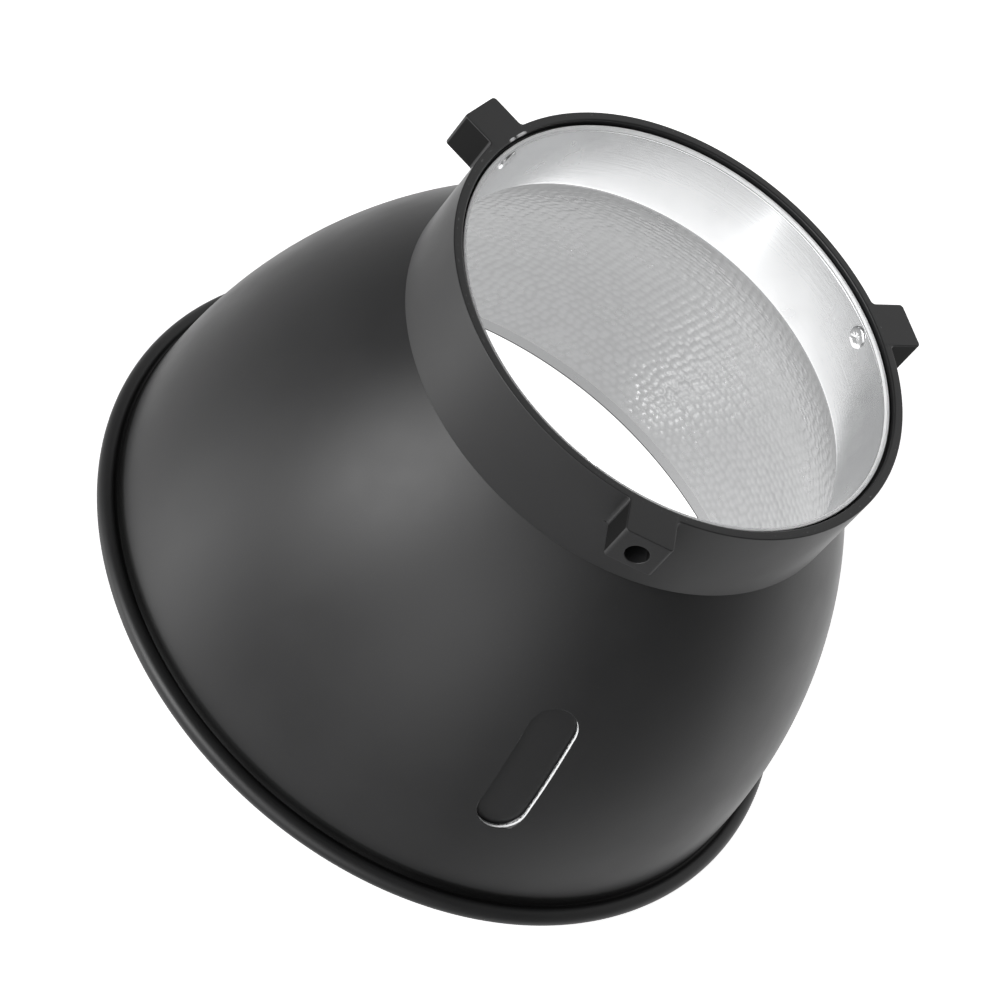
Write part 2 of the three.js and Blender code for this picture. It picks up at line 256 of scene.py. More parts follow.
def arc(cx, cy, radius, start, end, steps):
    """Points on a circle, from one angle to another in degrees, ends included."""
    angles = [math.radians(start + (end - start) * i / steps) for i in range(steps + 1)]
    return [(cx + radius * math.cos(a), cy + radius * math.sin(a)) for a in angles]


# ---- the wall's arc ----

def on_arc(radius, angle):
    return ARC_R0 + radius * math.cos(angle), ARC_Z0 + radius * math.sin(angle)


def angle_at_z(radius, z):
    return math.asin((z - ARC_Z0) / radius)


def angle_at_r(radius, r):
    return math.acos((r - ARC_R0) / radius)


def wall_arc(radius, start, end, steps):
    return [on_arc(radius, start + (end - start) * i / steps) for i in range(steps + 1)]


def roll(radius, start, end, steps):
    """Points of the rolled rim's section; 180 degrees is its innermost point."""
    return arc(RIM_R - BEAD_R, BEAD_R, radius, start, end, steps)


def wall_frame(radius, angle):
    """The frame of a place on the -Y side: X across, Y up the wall, Z outwards."""
    r, z = on_arc(radius, angle)
    columns = ((1, 0, 0), (0, math.sin(angle), math.cos(angle)), (0, -math.cos(angle), math.sin(angle)))
    matrix = Matrix(columns).transposed().to_4x4()
    matrix.translation = (0, -r, z)
    return matrix


HINGE = wall_frame(HINGE_ARC, HINGE_ANGLE)


def radial(azimuth, z):
    """A frame whose X runs straight out from the axis."""
    matrix = Matrix.Rotation(math.radians(azimuth), 4, "Z")
    matrix.translation = (0, 0, z)
    return matrix


# ---- materials ----

class Shader:
    """A Principled material being wired up."""

    def __init__(self, name):
        self.material = bpy.data.materials.new(name)
        self.material.use_nodes = True
        self.tree = self.material.node_tree
        self.bsdf = self.tree.nodes["Principled BSDF"]
        self.place = self.node("ShaderNodeTexCoord").outputs["Object"]

    def node(self, kind, **values):
        made = self.tree.nodes.new(kind)
        for key, value in values.items():
            setattr(made, key, value)
        return made

    def link(self, source, target):
        self.tree.links.new(source, target)

    def set(self, **values):
        """Sets constant values on the shader, by its sockets' names with underscores."""
        for key, value in values.items():
            name = "Specular IOR Level" if key == "specular" else key.replace("_", " ").title()
            self.bsdf.inputs[name].default_value = value

    def noise(self, size, detail=3.0, stretch=None, roughness=0.55):
        """Noise whose features are about size millimetres."""
        place = self.place
        if stretch:
            mapping = self.node("ShaderNodeMapping")
            mapping.inputs["Scale"].default_value = stretch
            self.link(place, mapping.inputs["Vector"])
            place = mapping.outputs["Vector"]
        noise = self.node("ShaderNodeTexNoise")
        noise.inputs["Scale"].default_value = 1 / (size * MM)
        noise.inputs["Detail"].default_value = detail
        noise.inputs["Roughness"].default_value = roughness
        self.link(place, noise.inputs["Vector"])
        return noise.outputs["Fac"]

    def span(self, value, low, high, from_low=0.3, from_high=0.7):
        """Maps a value onto a range of numbers."""
        spread = self.node("ShaderNodeMapRange")
        spread.inputs["From Min"].default_value = from_low
        spread.inputs["From Max"].default_value = from_high
        spread.inputs["To Min"].default_value = low
        spread.inputs["To Max"].default_value = high
        self.link(value, spread.inputs["Value"])
        return spread.outputs["Result"]

    def blend_colour(self, factor, first, second):
        """Mixes two colours by a factor; either may be a socket."""
        mix = self.node("ShaderNodeMix", data_type="RGBA")
        self.link(factor, mix.inputs["Factor"])
        for index, colour in ((6, first), (7, second)):
            if isinstance(colour, tuple):
                mix.inputs[index].default_value = (*colour, 1)
            else:
                self.link(colour, mix.inputs[index])
        return mix.outputs[2]

    def multiply(self, first, second):
        made = self.node("ShaderNodeMath", operation="MULTIPLY")
        self.link(first, made.inputs[0])
        self.link(second, made.inputs[1])
        return made.outputs[0]

    def section(self):
        """The distance from the axis and the height, as X and Y of a vector."""
        place = self.node("ShaderNodeSeparateXYZ")
        self.link(self.place, place.inputs[0])
        flat = self.node("ShaderNodeCombineXYZ")
        self.link(place.outputs["X"], flat.inputs["X"])
        self.link(place.outputs["Y"], flat.inputs["Y"])
        radius = self.node("ShaderNodeVectorMath", operation="LENGTH")
        self.link(flat.outputs[0], radius.inputs[0])
        section = self.node("ShaderNodeCombineXYZ")
        self.link(radius.outputs["Value"], section.inputs["X"])
        self.link(place.outputs["Z"], section.inputs["Y"])
        return section.outputs[0]

    def distance(self, r, z):
        """Distance in the section from a place given in millimetres."""
        reach = self.node("ShaderNodeVectorMath", operation="DISTANCE")
        reach.inputs[1].default_value = (r * MM, z * MM, 0)
        self.link(self.section(), reach.inputs[0])
        return reach.outputs["Value"]

    def bump(self, layers):
        """Stacks height maps, each with its depth in millimetres."""
        normal = None
        for height, depth in layers:
            bump = self.node("ShaderNodeBump")
            bump.inputs["Strength"].default_value = 1
            bump.inputs["Distance"].default_value = depth * MM
            self.link(height, bump.inputs["Height"])
            if normal:
                self.link(normal, bump.inputs["Normal"])
            normal = bump.outputs["Normal"]
        self.link(normal, self.bsdf.inputs["Normal"])


def painted(name, dark, light, rough, grain, worn=(), specular=0.5):
    """Satin black paint with a fine grain and faint cloudiness. It carries painted shade in the groove
    behind the rolled rim and over the rim's inner half, and a thin ring on the collar's rear face that is
    partly rubbed paint and partly a painted highlight line. Worn places are given as (position, reach),
    where the paint is chipped through to the metal."""
    shader = Shader(name)
    cloud = shader.noise(18, 2)
    fine = shader.noise(grain, 3)
    body = shader.blend_colour(cloud, dark, light)
    # Painted shade: darker paint in the groove behind the rolled rim and over the rim's inner half.
    groove = shader.span(shader.distance(*GROOVE_SHADE_CENTRE), 0, 1, GROOVE_SHADE_FADE[0] * MM, GROOVE_SHADE_FADE[1] * MM)
    body = shader.blend_colour(groove, GROOVE_SHADE_COLOUR, body)
    speck = shader.span(fine, 0, 1, 0.62, 0.8)
    body = shader.blend_colour(speck, body, tuple(c * SPECK_GAIN for c in light))
    # Partly rubbed paint, partly a painted highlight line: a lighter broken ring on the collar's rear face.
    edge = shader.span(shader.distance(RUBBED_HIGHLIGHT_R, REAR_Z), 1, 0, RUBBED_HIGHLIGHT_FADE[0] * MM, RUBBED_HIGHLIGHT_FADE[1] * MM)
    rubbed_and_highlight = shader.multiply(edge, shader.span(shader.noise(1.3, 3), 0, 1, 0.6, 0.72))
    body = shader.blend_colour(rubbed_and_highlight, body, RUBBED_HIGHLIGHT_COLOUR)
    for position, reach in worn:
        near = shader.node("ShaderNodeVectorMath", operation="DISTANCE")
        near.inputs[1].default_value = Vector(position) * MM
        shader.link(shader.place, near.inputs[0])
        spot = shader.span(near.outputs["Value"], 1, 0, 0.3 * reach * MM, reach * MM)
        corner = shader.distance(MOUTH_R + 0.3, REAR_Z)
        torn = shader.multiply(spot, shader.span(corner, 1, 0, 0.3 * MM, 0.6 * MM))
        torn = shader.span(shader.multiply(torn, shader.noise(0.5, 4)), 0, 1, 0.12, 0.4)
        body = shader.blend_colour(torn, body, CHIP_COLOUR)
    shader.link(body, shader.bsdf.inputs["Base Color"])
    shader.link(shader.span(cloud, rough - 0.03, rough + 0.03), shader.bsdf.inputs["Roughness"])
    shader.bump([(fine, 0.012), (shader.noise(2.5, 2), 0.01)])
    shader.set(specular=specular)
    return shader.material


def aluminium(name, colour, rough):
    """Bare aluminium, faintly cloudy."""
    shader = Shader(name)
    cloud = shader.noise(12, 3)
    tint = tuple(c * 0.93 for c in colour)
    shader.link(shader.blend_colour(cloud, tint, colour), shader.bsdf.inputs["Base Color"])
    shader.link(shader.span(cloud, rough - 0.04, rough + 0.04), shader.bsdf.inputs["Roughness"])
    shader.bump([(shader.noise(0.6, 2), 0.004)])
    shader.set(metallic=1.0)
    return shader.material


def spun_sheet():
    """The sheet: bright and brushed round the axis in the neck, etched dull in the bowl."""
    shader = Shader("spun_aluminium")
    cloud = shader.noise(12, 3)
    height = shader.node("ShaderNodeSeparateXYZ")
    shader.link(shader.place, height.inputs[0])
    neck = shader.span(height.outputs["Z"], 0, 1, 0.1 * LIP_Z * MM, 0.75 * LIP_Z * MM)
    bright = shader.blend_colour(cloud, NECK_TINT, NECK_COLOUR)
    shader.link(shader.blend_colour(neck, LINING_COLOUR, bright), shader.bsdf.inputs["Base Color"])
    shader.link(shader.span(cloud, 0.2, 0.28), shader.bsdf.inputs["Roughness"])
    lines = shader.noise(60, 5, stretch=(1, 1, 90), roughness=0.7)
    shader.bump([(lines, 0.012), (shader.noise(0.6, 2), 0.004)])
    shader.set(metallic=1.0)
    return shader.material


def pebbled():
    """Etched aluminium, with painted shade in the creases between the pebbles and a painted highlight on
    their tops.
    """
    shader = Shader("pebbled_aluminium")
    cloud = shader.noise(12, 3)
    # Painted shade in the creases, fading to a painted highlight on the pebbles' tops.
    crease, top = ARC_IN - LINING_RISE - PEBBLE_LOW, ARC_IN - LINING_RISE - PEBBLE_HIGH
    shade_to_highlight = shader.span(shader.distance(ARC_R0, ARC_Z0), 0, 1, crease * MM, top * MM)
    body = shader.blend_colour(shade_to_highlight, CREASE_SHADE_COLOUR, TOP_HIGHLIGHT_COLOUR)
    shader.link(body, shader.bsdf.inputs["Base Color"])
    shader.link(shader.span(cloud, 0.26, 0.32), shader.bsdf.inputs["Roughness"])
    shader.set(metallic=1.0)
    return shader.material


def cut_metal():
    """The sheet's raw cut edge, in the slot and at the neck's end, which scatters the light."""
    shader = Shader("cut_edge")
    fine = shader.noise(0.5, 3)
    body = shader.blend_colour(fine, (0.85, 0.855, 0.86), (0.98, 0.985, 0.99))
    shader.link(body, shader.bsdf.inputs["Base Color"])
    shader.link(shader.span(fine, 0.35, 0.6), shader.bsdf.inputs["Roughness"])
    shader.bump([(fine, 0.03)])
    return shader.material


def steel(name):
    """Plated steel, unevenly dull."""
    shader = Shader(name)
    cloud = shader.noise(3, 4)
    body = shader.blend_colour(cloud, (0.42, 0.43, 0.44), (0.6, 0.61, 0.62))
    shader.link(body, shader.bsdf.inputs["Base Color"])
    shader.link(shader.span(cloud, 0.26, 0.4), shader.bsdf.inputs["Roughness"])
    shader.bump([(shader.noise(0.5, 3), 0.006)])
    shader.set(metallic=1.0)
    return shader.material


SPECK_GAIN = 1.7                    # how much lighter the paint's specks are
RUBBED_HIGHLIGHT_FADE = (0.12, 0.3)           # full and none of the rubbed paint and painted highlight, in millimetres from its ring
RUBBED_HIGHLIGHT_COLOUR = (0.09, 0.09, 0.092)
CHIP_COLOUR = (0.75, 0.755, 0.76)
CHIPS = [(138.6, 63.7, 2.8), (142.2, 63.6, 1.7)]    # azimuth, distance from the axis and reach
GROOVE_SHADE_CENTRE = (RIM_R - BEAD_R - 2.75, 6.2)   # centre of the painted shade in the groove behind the rolled rim: radius and height
GROOVE_SHADE_FADE = (2.0, 2.7)            # full and no painted shade, in millimetres from the groove's centre
GROOVE_SHADE_COLOUR = (0.003, 0.003, 0.003)
NECK_TINT, NECK_COLOUR = (0.78, 0.785, 0.79), (0.83, 0.835, 0.84)
LINING_COLOUR = (0.27, 0.272, 0.274)
# The lining's painted shade in the creases and painted highlight on the pebbles' tops.
CREASE_SHADE_COLOUR, TOP_HIGHLIGHT_COLOUR = (0.3, 0.302, 0.304), (0.33, 0.332, 0.335)
BLACK, BLACK_LIGHT = (0.014, 0.014, 0.0145), (0.018, 0.018, 0.0185)
# Painted shade: a darker, duller paint for the lugs' side faces and the rivet heads deep in their wells.
SHADE_DULL, SHADE_DULL_LIGHT = (0.005, 0.005, 0.005), (0.007, 0.007, 0.007)
PAINT_BLACK = painted("satin_black", BLACK, BLACK_LIGHT, 0.36, 0.35)
CAST_BLACK = painted("cast_black", BLACK, BLACK_LIGHT, 0.35, 0.3,
                     [(Matrix.Rotation(math.radians(a), 3, "Z") @ Vector((r, 0, REAR_Z)), reach)
                      for a, r, reach in CHIPS])
SHADE_BLACK = painted("shade_black", SHADE_DULL, SHADE_DULL_LIGHT, 0.62, 0.3, specular=0.22)
SHEET_BRIGHT = spun_sheet()
PEBBLED = pebbled()
CUT_EDGE = cut_metal()
RIVET_BRIGHT = aluminium("rivet_aluminium", (0.93, 0.935, 0.94), 0.22)
STEEL = steel("plated_steel")


def piece(obj, body, material, slot, *nodes):
    """Gives a finished object its material and body, and hides the CAD nodes it stands for; the slot is not
    used.
    """
    obj.data.materials.clear()
    obj.data.materials.append(material)
    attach(obj, body)
    if nodes:
        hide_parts(*nodes)


# ---- the bowl ----

def slot_outline(grow, rough=0.0):
    """The slot's outline, grown by a little, with a rough edge if asked."""
    radius = SLOT_HALF_WIDTH + grow
    straight = SLOT_HALF_LENGTH - SLOT_HALF_WIDTH
    steps = 40
    outline = arc(0, straight, radius, 0, 180, steps)
    outline += [(-radius, straight * (1 - 2 * i / steps)) for i in range(1, steps)]
    outline += arc(0, -straight, radius, 180, 360, steps)
    outline += [(radius, straight * (2 * i / steps - 1)) for i in range(1, steps)]
    if rough:
        # The paint is chipped most at the lower right, where the punch came through.
        draw = np.random.default_rng(3)
        noise = draw.normal(size=len(outline))
        noise = np.convolve(np.tile(noise, 3), [0.25, 0.5, 0.25], "same")[len(outline):2 * len(outline)]
        chipped = []
        for (x, y), e in zip(outline, noise):
            torn = max(0, 1 - math.dist((x, y), (4.5, -18)) / 5)
            out = rough * e + torn * (0.25 + 0.35 * abs(e))
            chipped.append((x * (1 + out / radius), y * (1 + out / SLOT_HALF_LENGTH)))
        outline = chipped
    return outline


def slot_cutter(grow, rough=0.0):
    """The slot's punch. It follows the wall and leans, so that the cut's right side and lower
    end face outwards."""
    outline = slot_outline(grow, rough)
    n = len(outline)
    points = []
    for rise in (-6, 5):
        for x, y in outline:
            sink = ARC_OUT - math.sqrt(ARC_OUT**2 - y * y) + x * x / (2 * on_arc(ARC_OUT, SLOT_ANGLE)[0])
            points.append((x + SLOT_ASIDE + SLOT_LEAN[0] * rise, y + SLOT_LEAN[1] * rise, rise - sink))
    faces = [(i, (i + 1) % n, n + (i + 1) % n, n + i) for i in range(n)]
    faces += [tuple(reversed(range(n))), tuple(range(n, 2 * n))]
    return moved(new_object("cutter", points, faces), wall_frame(ARC_OUT, SLOT_ANGLE))


def neck_end():
    """The neck's trimmed end, from its outer side round to its inner one, with
    rounded corners and fine scribed lines."""
    scribe = NECK_IN + 0.65
    return [(NECK_OUT, LIP_Z - 1.0), (NECK_OUT + 0.18, LIP_Z - 0.45), (NECK_OUT + 0.14, LIP_Z - 0.12),
            (NECK_OUT, LIP_Z), (scribe + 0.09, LIP_Z), (scribe, LIP_Z - 0.09), (scribe - 0.09, LIP_Z),
            (NECK_IN + 0.42, LIP_Z), (NECK_IN + 0.3, LIP_Z - 0.06), (NECK_IN + 0.2, LIP_Z - 0.25),
            (NECK_IN + 0.1, LIP_Z - 0.5), (NECK_IN + 0.03, LIP_Z - 0.75), (NECK_IN, LIP_Z - 0.95),
            (NECK_IN, LIP_Z - 1.25), (NECK_IN + 0.07, LIP_Z - 1.35), (NECK_IN, LIP_Z - 1.45)]


def bowl_sheet():
    """The aluminium sheet itself, under the paint and behind the pebbled lining."""
    under = ARC_OUT - PAINT
    start = angle_at_z(ARC_OUT, SHEET_FOOT_Z)
    foot = on_arc(ARC_IN, angle_at_r(ARC_IN, NECK_IN))[1]
    profile = [
        *roll(BEAD_R - PAINT, 180, 450, 30),
        *roll(BEAD_R - PAINT, 450, BEAD_END, 4)[1:],
        *roll(BEAD_R - SHEET, BEAD_END, 180, 30),
        *wall_arc(under, start, angle_at_r(under, NECK_OUT + 0.6), 60),
        (NECK_OUT + 0.15, 106.4), (NECK_OUT, 107.4),
        *neck_end(),
        (NECK_IN, 110), (NECK_IN, foot + 0.5), (NECK_IN + 0.03, foot + 0.15),
        *wall_arc(ARC_IN, angle_at_r(ARC_IN, NECK_IN + 0.12), start, 60),
    ]
    obj = combine(revolve("bowl_sheet", profile), slot_cutter(0), "DIFFERENCE")
    for azimuth in LUG_AZIMUTHS:
        hole = [(NECK_IN - 3, 0), (NECK_IN - 3, RIVET_HOLE_R),
                (NECK_OUT + 3, RIVET_HOLE_R), (NECK_OUT + 3, 0)]
        combine(obj, turned_pin("cutter", hole, radial(azimuth, RIVET_Z)), "DIFFERENCE")
    shade(obj)
    piece(obj, "reflector", SHEET_BRIGHT, "bright_aluminium", "reflector_bowl")
    obj.data.materials.append(CUT_EDGE)
    place = wall_frame(ARC_OUT, SLOT_ANGLE)
    middle, outward = place.translation * MM, place.to_3x3().col[2]
    for polygon in obj.data.polygons:
        near = (polygon.center - middle).length < (SLOT_HALF_LENGTH + 1) * MM
        cut = near and abs(polygon.normal.dot(outward)) < CUT_FACE_LIMIT
        if cut or polygon.center.z > (LIP_Z - 0.8) * MM:
            polygon.material_index = 1


def bowl_paint():
    """The black film over the wall's outside, the groove and the rolled rim."""
    start = angle_at_z(ARC_OUT, PAINT_FOOT_Z)
    top = angle_at_r(ARC_OUT, NECK_OUT + 0.3)
    groove = [(100.25, 4.95), (100.38, 4.72), (100.6, 4.66)]
    outside = [*roll(BEAD_R, 212, 450, 34), *roll(BEAD_R, 450, 482, 6)[1:], *groove]
    # The film's inner face lies in the sheet, a film's thickness below its outer face.
    inside = [*roll(BEAD_R - PAINT, 214, 450, 34), *roll(BEAD_R - PAINT, 450, 480, 6)[1:]]
    inside += [(100.45, 4.5), (100.2, 4.5), (100.1, 4.9)]
    wall_out = wall_arc(ARC_OUT, start, top, 90)
    wall_in = wall_arc(ARC_OUT - PAINT, start, top, 90)
    profile = outside + wall_out + wall_in[::-1] + inside[::-1]
    obj = combine(revolve("bowl_paint", profile), slot_cutter(0.1, 0.05), "DIFFERENCE")
    shade(obj, weighted=False)
    piece(obj, "reflector", PAINT_BLACK, "black_paint", "reflector_bowl")


# ---- the pebbled lining ----

LINING_LOW = angle_at_z(ARC_IN, LINING_FOOT_Z)
LINING_HIGH = angle_at_r(ARC_IN, NECK_IN + 0.15)
LINING_ROWS = 216
LINING_COLUMNS = 1200
LINING_SECTORS = 4


def pebble_height(turn, along):
    """Height of the pebbled surface where turn is the azimuth and along the length up the wall."""
    draw = np.random.default_rng(11)
    length = ARC_IN * (LINING_HIGH - LINING_LOW)
    total = np.zeros_like(turn)
    nearest = np.round(along / PEBBLE_ROW)
    waves = draw.integers(2, 9, DRIFTS), draw.uniform(0.02, 0.12, DRIFTS), draw.uniform(0, 6.28, (2, DRIFTS))
    for row in range(-1, int(length / PEBBLE_ROW) + 3):
        level = row * PEBBLE_ROW
        r = on_arc(ARC_IN, LINING_LOW + level / ARC_IN)[0]
        count = round(2 * math.pi * r / PEBBLE_PITCH)
        azimuth = (np.arange(count) + 0.5 * row + draw.normal(0, 0.1)) * 2 * math.pi / count
        drift = np.zeros((2, count))
        for wave, rise, phase in zip(waves[0], waves[1], waves[2].T):
            drift[0] += DRIFT_SIZE * np.sin(wave * azimuth + rise * level + phase[0])
            drift[1] += DRIFT_SIZE * np.sin(wave * azimuth - rise * level + phase[1])
        shift = drift + draw.normal(0, PEBBLE_JITTER, (2, count))
        size = 1 + draw.normal(0, 0.15, count)
        near = np.abs(nearest - row) <= 2
        step = 2 * math.pi * r / count
        u = turn[near] * count / (2 * math.pi) - azimuth[0] * count / (2 * math.pi)
        sum_here = np.zeros(u.shape)
        for k in (-2, -1, 0, 1, 2):
            index = np.round(u).astype(int) + k
            pebble = index % count
            du = (u - index) * step - shift[0][pebble]
            dv = along[near] - level - shift[1][pebble]
            sum_here += size[pebble] * np.exp(-(du * du + dv * dv) / (2 * PEBBLE_SPREAD**2))
        total[near] += sum_here
    # The logarithm of the bells' sum is a dome on each pebble, with creases where they meet.
    return PEBBLE_RISE * (np.log(total + 0.05) + 0.5)


def lining_place(turn, angle):
    """A place on the lining's inner face."""
    along = (angle - LINING_LOW) * ARC_IN
    length = (LINING_HIGH - LINING_LOW) * ARC_IN
    fade = np.clip(along / 3.0, 0, 1) * np.clip((length - along) / 1.4, 0, 1)
    fade = fade * fade * (3 - 2 * fade)
    edge = np.clip(along / 0.6, 0, 1) * np.clip((length - along) / 0.6, 0, 1)
    calm = 1 - PEBBLE_CALM * along / length
    height = edge * LINING_RISE + fade * calm * pebble_height(turn, along)
    reach = ARC_IN + 0.02 - height
    r = ARC_R0 + reach * np.cos(angle)
    return np.stack([r * np.cos(turn), r * np.sin(turn), ARC_Z0 + reach * np.sin(angle)], -1)


def lining_normal(places):
    """Normals of the lining's inner face at places on it, from small steps along the surface."""
    turn = np.arctan2(places[:, 1], places[:, 0])
    angle = np.arctan2(places[:, 2] - ARC_Z0, np.hypot(places[:, 0], places[:, 1]) - ARC_R0)
    small = 0.1
    turn_step, angle_step = small / 80, small / ARC_IN
    across = lining_place(turn + turn_step, angle) - lining_place(turn - turn_step, angle)
    up = lining_place(turn, angle + angle_step) - lining_place(turn, angle - angle_step)
    normals = np.cross(up, across)
    return normals / np.linalg.norm(normals, axis=1, keepdims=True)


def lining_sector(number):
    """One closed slice of the lining; the slices' shared normals hide where they meet."""
    width = LINING_COLUMNS // LINING_SECTORS
    turn = 2 * math.pi * ((np.arange(width + 1) + number * width) / LINING_COLUMNS - 0.125)
    angle = np.linspace(LINING_LOW, LINING_HIGH, LINING_ROWS)
    turns, angles = np.meshgrid(turn, angle)
    face = lining_place(turns.ravel(), angles.ravel())
    back_rows = np.arange(0, LINING_ROWS, 5)
    back = []
    for row in back_rows:
        r, z = on_arc(ARC_IN + 0.35, angle[row])
        back.append(np.stack([r * np.cos(turn), r * np.sin(turn), np.full(width + 1, z)], 1))
    n = width + 1
    vertices = np.concatenate([face, *back])
    base = LINING_ROWS * n
    faces = [f[::-1] for f in grid_faces(LINING_ROWS, n)]
    faces += [tuple(base + v for v in f) for f in grid_faces(len(back_rows), n)]
    for i in range(len(back_rows) - 1):
        rows = range(back_rows[i], back_rows[i + 1] + 1)
        left = [r * n for r in rows]
        right = [r * n + width for r in rows]
        faces.append(tuple(left[::-1] + [base + i * n, base + (i + 1) * n]))
        faces.append(tuple(right + [base + (i + 1) * n + width, base + i * n + width]))
    end, back_end = (LINING_ROWS - 1) * n, base + (len(back_rows) - 1) * n
    for j in range(width):
        faces.append((j, j + 1, base + j + 1, base + j))
        faces.append((end + j + 1, end + j, back_end + j, back_end + j + 1))
    obj = new_object(f"pebbled_lining_{number + 1}", vertices, faces)
    if turn[0] < math.radians(270) < turn[-1]:
        combine(obj, slot_cutter(0), "DIFFERENCE")
    shade(obj, 50, False)
    use_lining_normals(obj.data)
    piece(obj, "reflector", PEBBLED, "bright_aluminium", "reflector_bowl")


def use_lining_normals(mesh):
    """Gives the pebbled face its exact normals, and leaves the others flat."""
    corners = np.zeros(len(mesh.loops), int)
    mesh.loops.foreach_get("vertex_index", corners)
    places = np.zeros(len(mesh.vertices) * 3)
    mesh.vertices.foreach_get("co", places)
    places = places.reshape(-1, 3) / MM
    flat = np.zeros(len(mesh.polygons) * 3)
    mesh.polygons.foreach_get("normal", flat)
    flat = flat.reshape(-1, 3)
    sizes = np.zeros(len(mesh.polygons), int)
    mesh.polygons.foreach_get("loop_total", sizes)
    normals = np.repeat(flat, sizes, axis=0)
    exact = lining_normal(places)[corners]
    pebbled = np.sum(normals * exact, axis=1) > 0.6
    normals[pebbled] = exact[pebbled]
    mesh.normals_split_custom_set(normals.tolist())


# ---- the collar ----

def lug_outline():
    """One lug in plan about the X axis: (x, y, how much of the lug's rounding applies)."""
    half = LUG_HALF
    wall = math.sqrt(COLLAR_R**2 - (half + LUG_FILLET) ** 2)
    points = [(*p, 0 if i == 0 else 1)
              for i, p in enumerate(arc(wall + LUG_FILLET, -half - LUG_FILLET, LUG_FILLET, 180, 90, 6))]
    flank = LUG_FACE - LUG_CORNER - wall - LUG_FILLET
    points += [(wall + LUG_FILLET + flank * i / 3, -half, 1) for i in (1, 2)]
    points += [(*p, 1) for p in arc(LUG_FACE - LUG_CORNER, -half + LUG_CORNER, LUG_CORNER, -90, 0, 6)]
    points += [(LUG_FACE, (half - LUG_CORNER) * (i / 4 - 1), 1) for i in range(1, 8)]
    mirrored = [(x, -y, w) for x, y, w in points[:-7][::-1]]
    return points + mirrored


def collar_outline():
    """The collar in plan above the lugs' front faces, once round, with rounding weights."""
    points = []
    lug = lug_outline()
    edge = math.degrees(math.atan2(lug[-1][1], lug[-1][0]))
    for azimuth in LUG_AZIMUTHS:
        a = math.radians(azimuth)
        points += [(x * math.cos(a) - y * math.sin(a), x * math.sin(a) + y * math.cos(a), w)
                   for x, y, w in lug]
        start, end = azimuth + edge, azimuth + 120 - edge
        steps = 84
        points += [(*p, 0) for p in arc(0, 0, COLLAR_R, start, end, steps)[1:-1]]
    return np.array(points)


def collar():
    """The cast ring and its three lugs, as loops of points from the bore round to the bore."""
    outline = collar_outline()
    plan, weight = outline[:, :2], outline[:, 2:]
    ring = plan / np.linalg.norm(plan, axis=1, keepdims=True)
    ahead, behind = np.roll(plan, -1, 0), np.roll(plan, 1, 0)
    along = (ahead - plan) / np.linalg.norm(ahead - plan, axis=1, keepdims=True)
    along = along + (plan - behind) / np.linalg.norm(plan - behind, axis=1, keepdims=True)
    along /= np.linalg.norm(along, axis=1, keepdims=True)
    outward = np.stack([along[:, 1], -along[:, 0]], 1)
    bore = NECK_OUT + 0.3

    def circle(r, z):
        return np.column_stack([ring * r, np.full(len(ring), z)])

    def follow(inset, z, everywhere=False):
        amount = inset if everywhere else inset * weight
        return np.column_stack([plan - outward * amount, np.full(len(ring), z)])

    loops = [
        circle(bore, COLLAR_Z + 1.7), circle(COLLAR_R - 1.6, COLLAR_Z),
        circle(COLLAR_R - 0.3, COLLAR_Z), circle(COLLAR_R - 0.09, COLLAR_Z + 0.09),
        circle(COLLAR_R, COLLAR_Z + 0.3),
        circle(COLLAR_R, LUG_FRONT_Z),
        follow(0.35, LUG_FRONT_Z), follow(0.1, LUG_FRONT_Z + 0.1), follow(0, LUG_FRONT_Z + 0.35),
        follow(0, REAR_Z - REAR_ROUND), follow(0.12 * REAR_ROUND, REAR_Z - 0.5 * REAR_ROUND, True),
        follow(0.45 * REAR_ROUND, REAR_Z - 0.13 * REAR_ROUND, True), follow(REAR_ROUND, REAR_Z, True),
    ]
    mouth = arc(MOUTH_R + MOUTH_ROUND, REAR_Z - MOUTH_ROUND, MOUTH_ROUND, 90, 180, 5)
    loops += [circle(r, z) for r, z in mouth]
    loops += [circle(MOUTH_R, REAR_Z - MOUTH_DEPTH), circle(bore, REAR_Z - MOUTH_DEPTH - 0.3)]
    vertices = np.concatenate(loops)
    obj = new_object("collar", vertices, grid_faces(len(loops), len(ring), True, True))
    merge = obj.modifiers.new("merge", "WELD")
    merge.merge_threshold = 0.004 * MM
    bake_modifiers(obj)
    for azimuth in LUG_AZIMUTHS:
        edge = WELL_EDGE
        well = [(WELL_FLOOR, 0), (WELL_FLOOR, WELL_R), (LUG_FACE - edge, WELL_R),
                (LUG_FACE - edge * 0.3, WELL_R + edge * 0.3), (LUG_FACE + 0.02, WELL_R + edge),
                (LUG_FACE + 3, WELL_R + edge), (LUG_FACE + 3, 0)]
        hole = [(bore - 3, 0), (bore - 3, RIVET_HOLE_R),
                (WELL_FLOOR + 1, RIVET_HOLE_R), (WELL_FLOOR + 1, 0)]
        combine(obj, turned_pin("cutter", well, radial(azimuth, WELL_Z), WELL_SIDES), "DIFFERENCE")
        combine(obj, turned_pin("cutter", hole, radial(azimuth, RIVET_Z)), "DIFFERENCE")
    shade(obj)
    piece(obj, "reflector", CAST_BLACK, "cast_black", "mount_collar")
    obj.data.materials.append(SHADE_BLACK)
    # The lugs' side faces take the darker paint as painted shade.
    for azimuth in LUG_AZIMUTHS:
        out = Vector((math.cos(math.radians(azimuth)), math.sin(math.radians(azimuth)), 0))
        side = Vector((-out.y, out.x, 0))
        for polygon in obj.data.polygons:
            beyond = polygon.center.dot(out) > (COLLAR_R + LUG_FILLET * 0.5) * MM
            if beyond and abs(polygon.normal.dot(side)) > LUG_SIDE_LIMIT:
                polygon.material_index = 1


